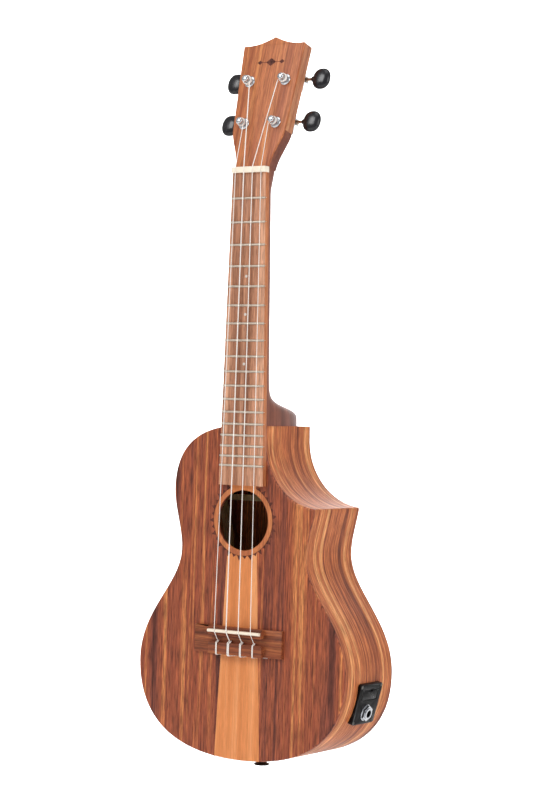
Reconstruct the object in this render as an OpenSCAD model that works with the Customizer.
// Electro-acoustic concert ukulele with a pointed cutaway and a pale centre wedge in the top.
// The neck stands up along Z, the soundboard faces -Y and the cutaway is on the +X side.
// Sub-parts are drawn from the tail up, and place() puts the hanging point at the origin.

/* [Body outline] */
// Tail to the widest line of the lower bout
lower_z = 77; // [64:0.5:93]
// Lower bout's widest line to the waist
waist_rise = 97; // [80:0.5:117]
// Waist to the upper bout's widest line
upper_rise = 50.5; // [42:0.5:61]
// Upper bout's widest line to the neck joint
shoulder_rise = 55.5; // [46:0.5:67]
// Width of the lower bout
lower_w = 208.5; // [173:0.5:251]
// Width of the waist
waist_w = 126; // [105:0.5:152]
// Width of the upper bout
upper_w = 143.5; // [119:0.5:173]
// Depth of the body at the neck joint
neck_depth = 69.5; // [67:0.5:78]
// Depth of the body at the tail
tail_depth = 78.5; // [70:0.5:88]
// Radius of the cutaway
cut_r = 55; // [45.8:0.1:58]
// Neck centre line to the start of the cutaway
cut_x = 20; // [19:0.5:24]
// Centre of the cutaway's arc below the neck joint
cut_drop = 12; // [8:0.5:16]

/* [Body build] */
// Thickness of the soundboard
top_t = 2.2; // [1.8:0.1:3]
// Thickness of the back
back_t = 2.2; // [1.8:0.1:3]
// Thickness of the ribs
rib_t = 2; // [1.6:0.1:2.6]
// Width of the linings
lining_w = 4; // [3:0.5:6]
// Depth of the linings
lining_h = 9; // [6:0.5:12]
// Thickness of the neck and tail blocks along Z
block_t = 16; // [12:0.5:20]
// Thickness of the braces
brace_w = 5; // [4:0.5:7]
// Height of the braces
brace_h = 8; // [6:0.5:10]
// Half width of the centre wedge at the tail
wedge_tail = 23; // [18:0.5:28]
// Half width of the centre wedge at the neck joint
wedge_neck = 10; // [8:0.5:14]
// Diameter of the sound hole
hole_d = 50.5; // [42:0.5:60]
// Neck joint to the centre of the sound hole
hole_drop = 79.5; // [78:0.5:92]

/* [Neck] */
// Vibrating length of the strings
scale_len = 378; // [315:0.1:454]
// Number of frets
fret_count = 18; // [14:1:18]
// Width of the fretboard at the nut
nut_w = 33.5; // [32:0.5:40]
// Width of the fretboard at its lower end
board_end_w = 44.6; // [42:0.1:48]
// Thickness of the fretboard
board_t = 5; // [4:0.1:6]
// Height of the fret crowns
crown_h = 0.9; // [0.7:0.05:1.2]
// Width of the fret crowns
crown_w = 2; // [1.6:0.1:2.6]
// Thickness of the nut along the strings
nut_t = 5; // [4:0.1:6]
// Height of the nut above the fretboard
nut_rise = 2.2; // [1.8:0.1:2.8]
// Depth of the neck's wood at the nut
shaft_nut_depth = 12; // [10:0.5:15]
// Depth of the neck's wood at the heel
shaft_heel_depth = 13.5; // [12:0.5:17]
// Depth of the heel at the body
heel_depth = 66; // [48:0.5:66.5]
// Length of the heel above the body
heel_len = 17.2; // [14:0.1:22]
// Diameter of the position dots
dot_d = 2.4; // [2:0.1:6]

/* [Head] */
// Angle that the head leans back
head_angle = 15; // [12:0.5:18]
// Length of the head to its peak
head_len = 117; // [110:0.5:130]
// Half width of the head at the top corners
head_half = 31; // [29.5:0.5:35]
// Thickness of the head's wood
head_t = 11; // [10:0.5:13]
// Thickness of the head's face veneer
veneer_t = 1.5; // [1:0.1:2]

/* [Strings and bridge] */
// Distance between strings at the nut
nut_pitch = 8.6; // [8:0.1:9.6]
// Distance between strings at the saddle
saddle_pitch = 12.2; // [11:0.1:13.5]
// Extra string length at the saddle
compensation = 5; // [1:0.1:7]
// Length of the bridge
bridge_w = 88; // [80:0.5:104]
// Length of the bridge's raised middle
tie_w = 54; // [53:0.5:62]
// Thickness of the bridge's wings
wing_h = 3; // [2.5:0.1:4]
// Height of the saddle ridge
ridge_h = 8; // [7:0.1:9]
// Height of the tie block
tie_h = 7.5; // [6.5:0.1:8.5]
// Length of the saddle
saddle_w = 52; // [46:0.5:52.5]
// Thickness of the saddle
saddle_t = 2.6; // [2.2:0.1:3.2]
// Height of the saddle's crown above the soundboard
saddle_h = 11; // [10:0.1:12.5]

/* [Tuners] */
// Head root to the lower posts
post_s_low = 38.8; // [36:0.1:42]
// Head root to the upper posts
post_s_high = 77; // [74:0.1:80]
// Centre line to the lower posts
post_x_low = 16; // [15:0.1:17]
// Centre line to the upper posts
post_x_high = 18; // [17:0.1:19]
// Diameter of the string posts
post_d = 6; // [5:0.1:6.6]
// Height of the posts above the head's face
post_h = 9.5; // [8.5:0.5:11]
// Diameter of the worm shafts
shaft_d = 2.6; // [2.2:0.1:3]
// Teeth on each gear wheel, with a single start worm
gear_teeth = 14; // [12:1:18]
// Tip diameter of the gear wheels
gear_d = 7.8; // [7:0.1:8.6]
// Length of the buttons along their shafts
button_l = 17; // [12:0.5:18]
// Width of the buttons
button_w = 18.5; // [13:0.5:20]
// Thickness of the buttons
button_t = 8; // [6:0.5:9]
// Running clearance round the turning parts
run_gap = 0.05; // [0.03:0.01:0.09]

/* [Jack plate] */
// Width of the plate across the rib
plate_w = 34; // [32:0.1:41]
// Length of the plate along the rib
plate_l = 35; // [34:0.5:40]
// Bore of the jack for a 6.35 mm plug
jack_bore = 6.5; // [6.45:0.01:6.7]
// Diameter of the jack's threaded bush
bush_d = 9.5; // [9:0.1:10]
// Diameter of the coin cells
cell_d = 20; // [18:0.5:21.5]
// Clearance round the battery tray
tray_gap = 0.3; // [0.2:0.05:0.5]

/* [Hidden] */
$fn = 48;
steps = 14;
body_len = lower_z + waist_rise + upper_rise + shoulder_rise;
waist_z = lower_z + waist_rise;
upper_z = waist_z + upper_rise;
cut_cx = cut_x + cut_r;
cut_cz = body_len - cut_drop;
horn_z = cut_cz - cut_r;
hole_z = body_len - hole_drop;
far = 400;
eps = 0.01;

// The body joins the neck at the fourteenth fret.
joint_fret = 14;
joint_gap = 1;
nut_z = body_len + scale_len * (1 - pow(2, -joint_fret / 12)) + joint_gap;
head_z = nut_z + nut_t;
hang_z = head_z + 7;
board_tail = 16.5;
board_end_z = nut_z - scale_len * (1 - pow(2, -fret_count / 12)) - board_tail;
saddle_z = nut_z - scale_len - compensation;
ridge_z = saddle_z + 3.6;
ridge_l = 7.4;
channel_l = 6;
tie_l = 9.6;
bridge_l = ridge_l + channel_l + tie_l;
tie_z = ridge_z - ridge_l - channel_l;
bridge_end_z = ridge_z - bridge_l;
tie_hole_y = -5.2;
pickup_h = 1;

post_r = post_d / 2;
post_foot_r = 1.8;
bush_r = 4;
flange_r = 5;
flange_h = 1.8;
tuner_t = 1.2;
gear_t = 3;
gear_gap = 0.4;
worm_r = 1.6;
worm_core_r = 1.1;
worm_s = gear_d / 2 + worm_r + 0.2;
worm_n = -head_t - tuner_t - gear_gap - gear_t / 2;
lug_in = 6;
lug_out = 10.2;
lug_t = 1.2;
lug_depth = 5.4;
button_gap = 6.6;
button_bite = 6;
string_n = 7.2;

string_r = [0.31, 0.45, 0.37, 0.28];
string_side = [-1, -1, 1, 1];
string_high = [0, 1, 1, 0];
turns = 3;
// Sides of a turn, and the gap between the coil and its post.
coil_sides = 14;
coil_gap = 0.03;

plate_at = 0.827;
plate_y = 38.5;
plate_t = 1.8;
plate_rim = 3;
housing_w = plate_w - 2 * plate_rim;
housing_l = plate_l - 2 * plate_rim;
wall = 1.5;
cell_t = 3.2;
pocket_d = cell_d + 0.4;
tray_w = cell_d + 2.6;
tray_h = 2 * cell_t + 2;
tray_s = 8;
tray_depth = cell_d + 4;
housing_depth = tray_depth + 2;
pocket_x = plate_t - tray_depth + 2.2 + pocket_d / 2;
jack_s = -7.5;

strap_y = (tail_depth - top_t) / 2;

teak = "#9a5a3c";
teak_side = "#a9683f";
pale_wood = "#d9a066";
spruce = "#d8bf8f";
neck_wood = "#a96a44";
dark_wood = "#6e5140";
bridge_wood = "#7a4f38";
ivory = "#efe6d2";
nickel = "#c8cacc";
black = "#1b1b1d";
nylon = "#e9e6de";

// ---- curves ----

function bez(a, b, c, d, t) =
    pow(1 - t, 3) * a + 3 * t * pow(1 - t, 2) * b + 3 * t * t * (1 - t) * c + t * t * t * d;

// A quarter turn of outline from a to b, leaving along one axis and arriving along the other.
function stretch(a, b, c, d, from = 0) = [for (i = [from:steps]) bez(a, b, c, d, i / steps)];

lower_pt = [lower_w / 2, lower_z];
waist_pt = [waist_w / 2, waist_z];
upper_pt = [upper_w / 2, upper_z];
tail_curve = [[0, 0], [0.683 * lower_pt.x, 0], [lower_pt.x, 0.386 * lower_z], lower_pt];
lower_curve = [lower_pt, lower_pt + [0, 0.44 * waist_rise], waist_pt - [0, 0.317 * waist_rise], waist_pt];
upper_curve = [waist_pt, waist_pt + [0, 0.331 * upper_rise], upper_pt - [0, 0.324 * upper_rise], upper_pt];
top_curve = [upper_pt, upper_pt + [0, 0.643 * shoulder_rise], [0.695 * upper_pt.x, body_len], [0, body_len]];

function run(c, from = 0) = stretch(c[0], c[1], c[2], c[3], from);

right_side = concat(run(tail_curve), run(lower_curve, 1), run(upper_curve, 1), run(top_curve, 1));
left_side = [for (i = [len(right_side) - 2:-1:1]) [-right_side[i].x, right_side[i].y]];
outline = concat(right_side, left_side);

function unit(v) = v / norm(v);

// The outline moved inwards by a distance, square to the curve at each point.
function inset(d) = [
    for (i = [0:len(outline) - 1])
        let (n = len(outline), u = unit(outline[(i + 1) % n] - outline[(i + n - 1) % n]))
            outline[i] + d * [-u.y, u.x]
];

// Rounded route through chosen points, with a few steps in each gap.
function spline_pt(p, q, r, s, t) =
    0.5 * (2 * q + (r - p) * t + (2 * p - 5 * q + 4 * r - s) * t * t + (3 * q - p - 3 * r + s) * t * t * t);

function rounded(p, k = 4) = concat(
    [
        for (i = [0:len(p) - 2], j = [0:k - 1])
            spline_pt(p[max(i - 1, 0)], p[i], p[i + 1], p[min(i + 2, len(p) - 1)], j / k)
    ],
    [p[len(p) - 1]]
);

// ---- shared shapes ----

module place() translate([0, 0, -hang_z]) children();

// A flat shape in X and Z, made solid from y0 back to y1.
module slab(y0, y1) translate([0, y1, 0]) rotate([90, 0, 0]) linear_extrude(y1 - y0) children();

// A side view in Y and Z, made solid across the whole width.
module side_view(half = far) translate([-half, 0, 0]) rotate([90, 0, 90]) linear_extrude(2 * half) children();

function back_y(z) = tail_depth + (neck_depth - tail_depth) * z / body_len;

// Everything in front of the back's face, or of a plane set in from it.
module before_back(set_in) side_view()
    polygon([[-far, -far], [back_y(-far) - set_in, -far], [back_y(far) - set_in, far], [-far, far]]);

module cut_2d(grow) {
    translate([cut_cx, cut_cz]) circle(r = cut_r + grow, $fn = 120);
    translate([cut_x - grow, cut_cz]) square([far, far]);
}

module body_2d(set_in) difference() {
    polygon(inset(set_in));
    cut_2d(set_in);
}

module wedge_2d() polygon([
    [-wedge_tail, -1], [wedge_tail, -1], [wedge_neck, body_len + 1], [-wedge_neck, body_len + 1]
]);

module blocks_2d() {
    neck_block_2d();
    tail_block_2d();
    horn_block_2d();
}

module neck_block_2d() intersection() {
    body_2d(rib_t);
    translate([-24, body_len - block_t - rib_t]) square([24 + cut_x, far]);
}

module tail_block_2d() intersection() {
    body_2d(rib_t);
    translate([-25, 0]) square([50, block_t + rib_t]);
}

module horn_block_2d() intersection() {
    body_2d(rib_t);
    translate([cut_cx - 20, horn_z - 14]) square([40, 20]);
}

module sound_hole() translate([0, -1, hole_z]) rotate([-90, 0, 0])
    cylinder(d = hole_d, h = top_t + 2, $fn = 120);

// A round wire through the points, closed at both ends.
module wire(points, r, sides = 8) {
    n = len(points);
    dirs = [for (i = [0:n - 1]) unit(points[min(i + 1, n - 1)] - points[max(i - 1, 0)])];
    start = unit(cross(dirs[0], abs(dirs[0].x) < 0.9 ? [1, 0, 0] : [0, 1, 0]));
    ups = [for (i = 0, u = start; i < n; i = i + 1, u = i < n ? unit(u - (u * dirs[i]) * dirs[i]) : u) u];
    rings = [
        for (i = [0:n - 1])
            let (u = unit(ups[i] - (ups[i] * dirs[i]) * dirs[i]), v = cross(dirs[i], u))
                for (k = [0:sides - 1]) points[i] + r * (cos(360 * k / sides) * u + sin(360 * k / sides) * v)
    ];
    skin(rings, n, sides);
}

// Faces over rings of points, each ring joined to the next and the two ends closed.
module skin(rings, n, sides) polyhedron(
    rings,
    concat(
        [[for (k = [0:sides - 1]) k]],
        [
            for (i = [0:n - 2], k = [0:sides - 1])
                let (a = i * sides + k, b = i * sides + (k + 1) % sides) [a, a + sides, b + sides, b]
        ],
        [[for (k = [sides - 1:-1:0]) (n - 1) * sides + k]]
    ),
    convexity = 6
);

// ---- body ----

module top_piece() difference() {
    slab(0, top_t) intersection() {
        body_2d(0);
        children();
    }
    sound_hole();
}

module top_side(side) color(teak) top_piece() difference() {
    translate([side > 0 ? 0 : -far, -far]) square([far, 2 * far]);
    wedge_2d();
}

module top_bass() top_side(-1);

module top_treble() top_side(1);

module top_wedge() color(pale_wood) top_piece() wedge_2d();

module back() color(teak) intersection() {
    slab(top_t, far) body_2d(0);
    difference() {
        before_back(0);
        before_back(back_t);
    }
}

// The wall between the outline and the same outline set in, kept where the children are.
module rib_wall() difference() {
    intersection() {
        slab(top_t, far) intersection() {
            difference() {
                body_2d(0);
                body_2d(rib_t);
            }
            children();
        }
        before_back(back_t);
    }
    strap_hole();
    dowels();
}

module treble_half() translate([0, -far]) square([far, 3 * far]);

// The stretch of rib that belongs to the cutaway, from the neck centre line to the horn.
module cutaway_zone() intersection() {
    union() {
        cut_2d(rib_t);
        translate([-far, cut_cz]) square([2 * far, far]);
    }
    treble_half();
}

module rib_bass() color(teak_side) rib_wall() mirror([1, 0]) treble_half();

module rib_cutaway() color(teak_side) rib_wall() cutaway_zone();

module rib_treble() color(teak_side) difference() {
    rib_wall() difference() {
        treble_half();
        cutaway_zone();
    }
    on_rib() translate([-housing_depth, -housing_w / 2, -housing_l / 2])
        cube([housing_depth + 10, housing_w, housing_l]);
    on_rib() plate_corners() rotate([0, 90, 0]) translate([0, 0, -10]) cylinder(d = 1.6, h = 20);
}

module inside_block() intersection() {
    slab(top_t, far) children();
    before_back(back_t);
}

module neck_block() color(spruce) difference() {
    inside_block() neck_block_2d();
    dowels();
}

module tail_block() color(spruce) difference() {
    inside_block() tail_block_2d();
    strap_hole();
}

module horn_block() color(spruce) inside_block() horn_block_2d();

module lining_2d() difference() {
    body_2d(rib_t);
    body_2d(rib_t + lining_w);
    blocks_2d();
}

module linings() color(spruce) {
    slab(top_t, top_t + lining_h) lining_2d();
    intersection() {
        slab(top_t, far) lining_2d();
        difference() {
            before_back(back_t);
            before_back(back_t + lining_h);
        }
    }
}

// Inside the linings and clear of the blocks, where braces may lie.
module brace_room_2d() difference() {
    body_2d(rib_t + lining_w);
    blocks_2d();
}

fan_top = bridge_end_z - 3;

module top_braces() color(spruce) slab(top_t, top_t + brace_h) intersection() {
    brace_room_2d();
    union() {
        for (z = [hole_z + hole_d / 2 + 9, hole_z - hole_d / 2 - 9])
            translate([-far, z - brace_w / 2]) square([2 * far, brace_w]);
        for (a = [-14, 0, 14])
            translate([a * 1.4, fan_top]) rotate(a) translate([-brace_w / 2, -far]) square([brace_w, far]);
    }
}

module back_braces() color(spruce) intersection() {
    slab(top_t, far) intersection() {
        brace_room_2d();
        for (z = [lower_z - 22, lower_z + 45, upper_z - 8])
            translate([-far, z - brace_w / 2]) square([2 * far, brace_w]);
    }
    difference() {
        before_back(back_t);
        before_back(back_t + brace_h);
    }
}

module bridge_plate() color(spruce) slab(top_t, top_t + 2.5)
    translate([-bridge_w / 2 - 6, bridge_end_z - 2]) square([bridge_w + 12, bridge_l + 4]);

// ---- neck and head ----

function fret_z(n) = nut_z - scale_len * (1 - pow(2, -n / 12));

function board_half(z) =
    nut_w / 2 + (board_end_w - nut_w) / 2 * (nut_z - z) / (nut_z - board_end_z);

function shaft_depth(z) =
    let (k = (z - body_len) / (nut_z - body_len)) shaft_heel_depth + (shaft_nut_depth - shaft_heel_depth) * k;

// The heel swells from the shaft in a rounded step.
function heel_share(z) = let (h = max(z - body_len, 0)) 1 / (1 + pow(h / heel_len, 6));

function neck_y(z) = shaft_depth(z) + (heel_depth - shaft_depth(z)) * heel_share(z);

// The shaft runs up inside the head's root, a little behind its face and inside its sides.
fold_z = head_z - 1;
root_taper = 0.15;

function face_y(z) = max(0, (z - fold_z) * tan(head_angle));

// The round of the shaft squares up towards the heel and into the head.
function squareness(z) =
    let (k = min(max((z - nut_z + 18) / 20, 0), 1)) 2.1 + 0.5 * heel_share(z) + 3.5 * k * k;

neck_sides = 20;
neck_end_z = head_z + 14;
heel_rings = [for (i = [0:26]) body_len - 3 + i * (heel_len * 2.4 + 3) / 26];
shaft_rings = [for (i = [1:10]) heel_rings[26] + i * (neck_end_z - heel_rings[26]) / 10];
neck_rings = concat(heel_rings, [for (z = shaft_rings) if (z < fold_z) z], [fold_z, neck_end_z]);

function neck_section(z) =
    let (w = board_half(min(z, nut_z)) - root_taper * max(0, z - fold_z))
    let (f = face_y(z), d = neck_y(z) - f, e = 2 / squareness(z))
        [
            for (k = [0:neck_sides])
                let (a = 180 * k / neck_sides)
                    [w * sign(cos(a)) * pow(abs(cos(a)), e), f + d * pow(abs(sin(a)), e), z]
        ];

module on_head() translate([0, 0, head_z]) rotate([90 - head_angle, 0, 0]) children();

head_root_half = board_half(nut_z);
flare_pt = [26.3, 32];
corner_pt = [head_half, head_len - 6.5];
flare = [[head_root_half, 0], [head_root_half + 0.4, 12], [24.9, 21.5], flare_pt];
crest = [corner_pt, [0.58 * head_half, corner_pt.y - 1.5], [0.29 * head_half, head_len - 4], [0, head_len]];
corner_cut = 1.2;

head_right = concat(
    run(flare),
    [corner_pt - [0.1, corner_cut]],
    [for (i = [1:steps]) bez(crest[0], crest[1], crest[2], crest[3], i / steps)]
);

module head_2d() polygon(concat(
    head_right,
    [for (i = [len(head_right) - 2:-1:0]) [-head_right[i].x, head_right[i].y]]
));

// The head's wood reaches down into the shaft, behind the nut.
module head_wood() difference() {
    on_head() translate([0, 0, -head_t]) linear_extrude(head_t) {
        head_2d();
        polygon([
            [-head_root_half + 0.6, -2],
            [head_root_half - 0.6, -2],
            [head_root_half, 0.5],
            [-head_root_half, 0.5]
        ]);
    }
    slab(-far, 0) translate([-far, 0]) square([2 * far, head_z]);
}

module neck() color(neck_wood) difference() {
    union() {
        skin([for (z = neck_rings) each neck_section(z)], len(neck_rings), neck_sides + 1);
        head_wood();
    }
    slab(-far, far) polygon(outline);
    dowels();
    on_head() each_post() translate([0, 0, -head_t - 1]) cylinder(r = bush_r, h = head_t + 2);
    tuner_screws_at(0.8);
}

module dowels() for (y = [16, 44])
    translate([0, y, body_len - block_t + 4]) cylinder(d = 6, h = block_t + 4);

module neck_dowels() color(pale_wood) dowels();

module head_veneer() color(teak) on_head() difference() {
    linear_extrude(veneer_t) head_2d();
    each_post() translate([0, 0, -1]) cylinder(r = bush_r, h = veneer_t + 2);
}

module board_2d(z0, z1) polygon([
    [-board_half(z0), z0], [board_half(z0), z0], [board_half(z1), z1], [-board_half(z1), z1]
]);

dot_frets = [5, 7, 10];
dot_depth = 1.5;

function dot_z(n) = (fret_z(n) + fret_z(n - 1)) / 2;

module dots() for (n = dot_frets)
    translate([0, -board_t, dot_z(n)]) rotate([-90, 0, 0]) cylinder(d = dot_d, h = dot_depth);

tang_w = 0.6;
tang_h = 2;

module fret_tangs() for (n = [1:fret_count])
    translate([-board_half(fret_z(n)), -board_t, fret_z(n) - tang_w / 2])
        cube([2 * board_half(fret_z(n)), tang_h, tang_w]);

module fretboard() color(dark_wood) difference() {
    slab(-board_t, 0) board_2d(board_end_z, nut_z);
    fret_tangs();
    dots();
}

// A crown is a low arc of the right width and height, with its tang pressed into the slot.
crown_r = (crown_w * crown_w / 4 + crown_h * crown_h) / (2 * crown_h);

module crown_2d() intersection() {
    translate([crown_h - crown_r, 0]) circle(r = crown_r, $fn = 40);
    translate([0, -crown_w]) square([crown_h, 2 * crown_w]);
}

module frets() color(nickel) {
    for (n = [1:fret_count])
        translate([-board_half(fret_z(n)) + 0.2, -board_t, fret_z(n)])
            rotate([90, 0, 90]) mirror([1, 0]) linear_extrude(2 * board_half(fret_z(n)) - 0.4) crown_2d();
    fret_tangs();
}

module position_dots() color(ivory) dots();

string_nut_y = -board_t - crown_h - 0.5;

function nut_x(i) = (i - 1.5) * nut_pitch;

function saddle_x(i) = (i - 1.5) * saddle_pitch;

module nut() color(ivory) difference() {
    translate([-nut_w / 2, -board_t - nut_rise, nut_z]) cube([nut_w, board_t + nut_rise, nut_t]);
    for (i = [0:3])
        translate([nut_x(i), string_nut_y - string_r[i], nut_z - 1]) union() {
            cylinder(r = string_r[i] + 0.04, h = nut_t + 2, $fn = 24);
            translate([-string_r[i] - 0.04, -5, 0]) cube([2 * string_r[i] + 0.08, 5, nut_t + 2]);
        }
}

// ---- bridge ----

module bridge() color(bridge_wood) difference() {
    union() {
        slab(-wing_h, 0) translate([-bridge_w / 2, bridge_end_z]) square([bridge_w, bridge_l]);
        slab(-ridge_h, 0) translate([-tie_w / 2, ridge_z - ridge_l]) square([tie_w, ridge_l]);
        slab(-tie_h, 0) translate([-tie_w / 2, bridge_end_z]) square([tie_w, tie_l]);
    }
    translate([-saddle_w / 2, -ridge_h - 1, saddle_z - saddle_t / 2])
        cube([saddle_w, ridge_h + 1 - wing_h, saddle_t]);
    for (i = [0:3])
        translate([saddle_x(i), tie_hole_y, bridge_end_z - 1]) cylinder(d = 1.5, h = tie_l + 2, $fn = 24);
}

module pickup_strip() color("#8d8f92")
    translate([-saddle_w / 2, -wing_h - pickup_h, saddle_z - saddle_t / 2])
        cube([saddle_w, pickup_h, saddle_t]);

module saddle() color(ivory) {
    translate([-saddle_w / 2, -saddle_h + saddle_t / 2, saddle_z - saddle_t / 2])
        cube([saddle_w, saddle_h - saddle_t / 2 - wing_h - pickup_h, saddle_t]);
    translate([-saddle_w / 2, -saddle_h + saddle_t / 2, saddle_z]) rotate([0, 90, 0])
        cylinder(d = saddle_t, h = saddle_w);
}

// ---- strings ----

// Each string's post, across the head and up it.
function post_x(i) = string_side[i] * (string_high[i] ? post_x_high : post_x_low);
function post_s(i) = string_high[i] ? post_s_high : post_s_low;

// From the winding down the neck, over the saddle, through the tie block and round itself.
function string_end(i) =
    head_point(post_x(i) - string_side[i] * (post_r + string_r[i]), post_s(i), string_n);

function head_point(x, s, n) =
    [x, s * sin(head_angle) - n * cos(head_angle), head_z + s * cos(head_angle) + n * sin(head_angle)];

function nut_top(i) = [nut_x(i), string_nut_y - string_r[i], nut_z + nut_t];

// Radius of the coil's corners, so that the straight runs between them clear the post.
function coil_r(i) = (post_r + string_r[i] + coil_gap) / cos(180 / coil_sides);

// The string stops just short of the coil round the post, which turns with it.
function string_start(i) =
    let (a = string_end(i), b = nut_top(i), outer = coil_r(i) + string_r[i] + 0.1)
        a + unit(b - a) * sqrt(outer * outer - post_r * post_r);

function tie_route(i) =
    let (x = saddle_x(i), r = string_r[i], d = 2 * r, top = -tie_h - r - 0.05, rear = bridge_end_z - r - 0.1)
        [
            [x, tie_hole_y, tie_z + 0.3],
            [x, tie_hole_y, tie_z - tie_l / 2],
            [x, tie_hole_y, bridge_end_z + 0.2],
            [x - 0.2 * d, tie_hole_y - 0.5, rear - r],
            [x - 0.5 * d, top + 0.4, rear],
            [x - 0.65 * d, top, bridge_end_z + 1.2],
            [x - 0.65 * d, top, tie_z - 1.2],
            [x - 1.0 * d, top + 0.9, tie_z + r + 0.2],
            [x - 0.9 * d, tie_hole_y + 1.1 * d, tie_z + 1.4],
            [x + 0.6 * d, tie_hole_y + 1.2 * d, tie_z + 1.6],
            [x + 1.3 * d, tie_hole_y - 0.9, tie_z + r + 0.6],
            [x + 0.9 * d, top + 0.2, tie_z + 0.1],
            [x + 0.65 * d, top, tie_z - 1.6],
            [x + 0.65 * d, top, bridge_end_z + 1.2],
            [x + 0.9 * d, top + 0.6, rear],
            [x + 1.3 * d, -3.4, rear - 0.2],
            [x + 2.4 * d, -r - 0.6, rear - 0.2],
            [x + 4.6, -r - 0.3, rear],
            [x + saddle_pitch - 1.6, -r - 0.3, rear]
        ];

module string(i) {
    r = string_r[i];
    over = [saddle_x(i), -saddle_h - r, saddle_z];
    first = [nut_x(i), string_nut_y - r, nut_z];
    color(nylon) wire(
        concat(
            [string_start(i), nut_top(i), first, over + 0.02 * (first - over), over],
            rounded(concat([over + [0, 1.2, -2.2]], tie_route(i)))
        ),
        r
    );
}

// The coil that the post carries.
module winding(i) {
    r = string_r[i];
    pitch = 2.2 * r;
    color(nylon) on_head() translate([post_x(i), post_s(i), string_n]) wire(
        [
            for (k = [0:turns * coil_sides])
                let (a = (string_side[i] > 0 ? 180 : 0) - string_side[i] * 360 * k / coil_sides)
                    [coil_r(i) * cos(a), coil_r(i) * sin(a), -pitch * k / coil_sides]
        ],
        r,
        6
    );
}

// ---- tuners ----

module each_post() for (side = [-1, 1]) {
    translate([side * post_x_low, post_s_low, 0]) children();
    translate([side * post_x_high, post_s_high, 0]) children();
}

// One machine's own frame: the button points along +X before mirroring to its side.
module machine(i) on_head() translate([post_x(i), post_s(i), 0])
    mirror([string_side[i] > 0 ? 0 : 1, 0, 0]) children();

module tuner_bushings() color(nickel) for (i = [0:3]) machine(i) difference() {
    union() {
        translate([0, 0, -5]) cylinder(r = bush_r, h = 5 + veneer_t);
        translate([0, 0, veneer_t]) cylinder(r = flange_r, h = flange_h * 0.6);
        translate([0, 0, veneer_t + flange_h * 0.6])
            cylinder(r1 = flange_r, r2 = flange_r - 0.8, h = flange_h * 0.4);
    }
    translate([0, 0, -6]) cylinder(r = post_r + run_gap, h = 20);
}

plate_low_s = -6;
plate_high_s = worm_s + 4.5;
screw_spots = [[-3.8, -4.2], [7.2, -3.6]];

module tuner_plates() color(nickel) for (i = [0:3]) machine(i) difference() {
    union() {
        translate([-lug_in - lug_t, plate_low_s, -head_t - tuner_t])
            cube([lug_in + lug_t + lug_out, plate_high_s - plate_low_s, tuner_t]);
        for (x = [-lug_in - lug_t, lug_out - lug_t])
            translate([x, worm_s - 3, -head_t - tuner_t - lug_depth]) cube([lug_t, 6, lug_depth + eps]);
    }
    translate([0, 0, -head_t - 5]) cylinder(r = post_foot_r + run_gap, h = 10);
    translate([-20, worm_s, worm_n]) rotate([0, 90, 0]) cylinder(d = shaft_d + 2 * run_gap, h = 60);
    for (p = screw_spots) translate([p.x, p.y, -head_t - 5]) cylinder(d = 1.6, h = 10);
}

module tuner_screws_at(r) for (i = [0:3]) machine(i) for (p = screw_spots)
    translate([p.x, p.y, -head_t - tuner_t]) cylinder(r = r, h = 7);

module tuner_screws() color(nickel) {
    tuner_screws_at(0.8);
    for (i = [0:3]) machine(i) for (p = screw_spots)
        translate([p.x, p.y, -head_t - tuner_t]) screw_head(1.6, 0.9);
}

// A pan head facing -Z with a cross recess.
module screw_head(r, h) difference() {
    translate([0, 0, -h]) cylinder(r1 = r * 0.75, r2 = r, h = h);
    for (a = [0, 90])
        rotate(a) translate([-r * 0.55, -r * 0.12, -h - 1]) cube([r * 1.1, r * 0.24, 1 + h * 0.5]);
}

module post(i) color(nickel) machine(i) difference() {
    union() {
        translate([0, 0, -head_t + 0.3]) cylinder(r = post_r, h = head_t - 0.3 + veneer_t + post_h - 1);
        translate([0, 0, veneer_t + post_h - 1]) cylinder(r1 = post_r, r2 = post_r - 0.8, h = 1);
        translate([0, 0, -head_t - tuner_t - gear_gap - gear_t - 0.4])
            cylinder(r = post_foot_r, h = tuner_t + gear_gap + gear_t + 0.7 + eps);
    }
    translate([-10, 0, string_n + 2.2]) rotate([0, 90, 0]) cylinder(d = 1.3, h = 20, $fn = 24);
}

module gear(i) color("#c9a86a") machine(i)
    translate([0, 0, -head_t - tuner_t - gear_gap - gear_t]) difference() {
        linear_extrude(gear_t) gear_2d();
        translate([0, 0, -1]) cylinder(r = post_foot_r, h = gear_t + 2);
    }

module gear_2d() {
    root = gear_d / 2 - 0.8;
    polygon([
        for (k = [0:gear_teeth - 1], p = [[-0.3, root], [-0.14, gear_d / 2], [0.14, gear_d / 2], [0.3, root]])
            let (a = (k + 0.5 + p[0]) * 360 / gear_teeth) p[1] * [cos(a), sin(a)]
    ]);
}

worm_l = 7;
thread_pitch = 1.6;

module worm_line() translate([0, worm_s, worm_n]) rotate([0, 90, 0]) children();

module worm_shaft(i) color(nickel) machine(i) worm_line() union() {
    translate([0, 0, -lug_in - lug_t - 0.8]) cylinder(d = shaft_d, h = lug_in + lug_t + 0.8 - worm_l / 2);
    translate([0, 0, -worm_l / 2 - eps]) cylinder(r = worm_core_r, h = worm_l + 2 * eps);
    for (z = [-worm_l / 2:thread_pitch:worm_l / 2 - 0.6]) translate([0, 0, z]) {
        cylinder(r1 = worm_core_r, r2 = worm_r, h = 0.5);
        translate([0, 0, 0.5]) cylinder(r1 = worm_r, r2 = worm_core_r, h = 0.5);
    }
    translate([0, 0, worm_l / 2]) cylinder(d = shaft_d, h = lug_out - worm_l / 2 + button_gap + button_bite);
    translate([0, 0, lug_out + 0.2]) cylinder(r = 2.1, h = 1);
}

module button_spot() translate([lug_out + button_gap + button_l / 2, worm_s, worm_n]) children();

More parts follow.
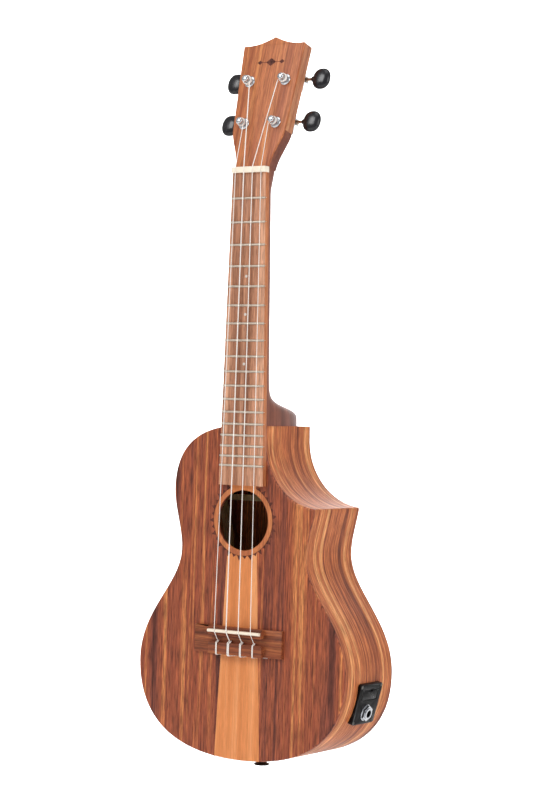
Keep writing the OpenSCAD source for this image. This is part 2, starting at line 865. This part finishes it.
module button(i) color(black) machine(i) button_spot() difference() {
    union() {
        scale([button_l / 2, button_w / 2, button_t / 2]) sphere(1, $fn = 28);
        translate([-button_l / 2 - 0.6, 0, 0]) rotate([0, 90, 0]) cylinder(r = 2.4, h = 3);
    }
    translate([-button_l / 2 - 2, 0, 0]) rotate([0, 90, 0])
        cylinder(d = shaft_d, h = 2 + button_bite, $fn = 24);
}

// ---- strap button ----

strap_l = 8;

module strap_axis() translate([0, strap_y, 0]) children();

module strap_hole() strap_axis() translate([0, 0, -1]) cylinder(d = 3.4, h = block_t + rib_t + 2);

module strap_button() color(black) strap_axis() rotate([180, 0, 0]) difference() {
    rotate_extrude($fn = 60) polygon([
        [0, 0], [4.2, 0], [4.2, 1.2], [3.4, 2.4], [3.4, 4.2],
        [4.4, 5.8], [6.3, 6.6], [6.6, 7.2], [6.2, strap_l], [0, strap_l]
    ]);
    translate([0, 0, -1]) cylinder(d = 3.4, h = strap_l + 2);
    translate([0, 0, strap_l - 1.8]) cylinder(d = 6.4, h = 3);
}

module strap_screw() color(nickel) strap_axis() {
    translate([0, 0, -strap_l + 1.6]) cylinder(d = 3.4, h = strap_l - 1.6 + block_t);
    translate([0, 0, -strap_l + 1.8]) screw_head(3.1, 1.7);
}

// ---- jack plate ----

plate_spot = bez(tail_curve[0], tail_curve[1], tail_curve[2], tail_curve[3], plate_at);
plate_next = bez(tail_curve[0], tail_curve[1], tail_curve[2], tail_curve[3], plate_at + 0.02);
plate_dir = unit(plate_next - plate_spot);
plate_tilt = atan2(plate_dir.x, plate_dir.y);

// The plate's own frame: +X outwards, Y across the rib and Z along it.
module on_rib() translate([plate_spot.x, plate_y, plate_spot.y]) rotate([0, plate_tilt, 0]) children();

module plate_corners() for (y = [-1, 1], z = [-1, 1])
    translate([0, y * (plate_w / 2 - 2), z * (plate_l / 2 - 2)]) children();

module rounded_plate_2d(w, l, r) {
    square([w - 2 * r, l], center = true);
    square([w, l - 2 * r], center = true);
    for (y = [-1, 1], z = [-1, 1]) translate([y * (w / 2 - r), z * (l / 2 - r)]) circle(r, $fn = 24);
}

module plate_prism(x0, x1) translate([x0, 0, 0]) rotate([90, 0, 90]) linear_extrude(x1 - x0) children();

module housing_room_2d() square([housing_w - 2 * wall, housing_l - 2 * wall], center = true);

module jack_plate() color(black) difference() {
    union() {
        difference() {
            on_rib() plate_prism(-6, plate_t) rounded_plate_2d(plate_w, plate_l, 3);
            slab(0, far) polygon(outline);
        }
        on_rib() difference() {
            plate_prism(-housing_depth, plate_t - 0.5) square([housing_w, housing_l], center = true);
            plate_prism(-housing_depth - 1, -2.2) housing_room_2d();
        }
    }
    on_rib() tray_opening();
    on_rib() translate([-20, 0, jack_s]) rotate([0, 90, 0]) cylinder(d = bush_d, h = 40);
    on_rib() plate_corners() rotate([0, 90, 0]) translate([0, 0, -10]) cylinder(d = 1.6, h = 20);
}

module tray_opening() translate([-housing_depth, -tray_w / 2 - tray_gap, tray_s - tray_h / 2 - tray_gap])
    cube([housing_depth + 10, tray_w + 2 * tray_gap, tray_h + 2 * tray_gap]);

module plate_screws() color(nickel) on_rib() plate_corners() rotate([0, 90, 0]) {
    translate([0, 0, plate_t - 8]) cylinder(d = 1.6, h = 8);
    translate([0, 0, plate_t]) mirror([0, 0, 1]) screw_head(1.5, 0.5);
}

module battery_tray() color(black) on_rib() translate([0, 0, tray_s]) difference() {
    translate([plate_t - tray_depth, -tray_w / 2, -tray_h / 2]) cube([tray_depth, tray_w, tray_h]);
    translate([pocket_x, 0, -tray_h / 2 + 1]) cylinder(d = pocket_d, h = tray_h, $fn = 60);
    translate([plate_t - 1.2, -3.5, tray_h / 2 - 1.6]) cube([3, 7, 3]);
}

module coin_cells() color(nickel) on_rib() translate([pocket_x, 0, tray_s - tray_h / 2 + 1])
    for (k = [0, 1]) translate([0, 0, k * cell_t]) union() {
        cylinder(d = cell_d, h = cell_t - 0.4, $fn = 60);
        translate([0, 0, cell_t - 0.4]) cylinder(d = cell_d - 2.4, h = 0.4, $fn = 60);
    }

module preamp_board() color("#1f6b3a") on_rib()
    plate_prism(-housing_depth + 1, -housing_depth + 2.6) housing_room_2d();

jack_out = 5.5;

module jack_socket() color(nickel) on_rib() translate([0, 0, jack_s]) rotate([0, 90, 0]) difference() {
    union() {
        translate([0, 0, -12]) cylinder(d = bush_d, h = 12 + jack_out);
        translate([0, 0, -21]) cylinder(d = 10.8, h = 9);
    }
    translate([0, 0, -19]) cylinder(d = jack_bore, h = 19 + jack_out + 1);
}

module jack_nut() color(nickel) on_rib() translate([plate_t, 0, jack_s]) rotate([0, 90, 0]) difference() {
    union() {
        cylinder(d = 14, h = 0.6);
        translate([0, 0, 0.6]) cylinder(d = 13.6, h = 2.2, $fn = 6);
    }
    translate([0, 0, -1]) cylinder(d = bush_d, h = 6);
}

// ---- the pieces ----

place() top_bass();
place() top_wedge();
place() top_treble();
place() back();
place() rib_bass();
place() rib_cutaway();
place() rib_treble();
place() neck_block();
place() tail_block();
place() horn_block();
place() linings();
place() top_braces();
place() back_braces();
place() bridge_plate();
place() neck();
place() neck_dowels();
place() head_veneer();
place() fretboard();
place() frets();
place() position_dots();
place() nut();
place() bridge();
place() saddle();
place() pickup_strip();
place() string(0);  // string_1
place() string(1);  // string_2
place() string(2);  // string_3
place() string(3);  // string_4
place() winding(0);  // winding_1
place() winding(1);  // winding_2
place() winding(2);  // winding_3
place() winding(3);  // winding_4
place() tuner_bushings();
place() tuner_plates();
place() tuner_screws();
place() worm_shaft(0);  // worm_shaft_1
place() worm_shaft(1);  // worm_shaft_2
place() worm_shaft(2);  // worm_shaft_3
place() worm_shaft(3);  // worm_shaft_4
place() button(0);  // button_1
place() button(1);  // button_2
place() button(2);  // button_3
place() button(3);  // button_4
place() post(0);  // post_1
place() post(1);  // post_2
place() post(2);  // post_3
place() post(3);  // post_4
place() gear(0);  // gear_1
place() gear(1);  // gear_2
place() gear(2);  // gear_3
place() gear(3);  // gear_4
place() strap_button();
place() strap_screw();
place() jack_plate();
place() plate_screws();
place() battery_tray();
place() coin_cells();
place() preamp_board();
place() jack_socket();
place() jack_nut();
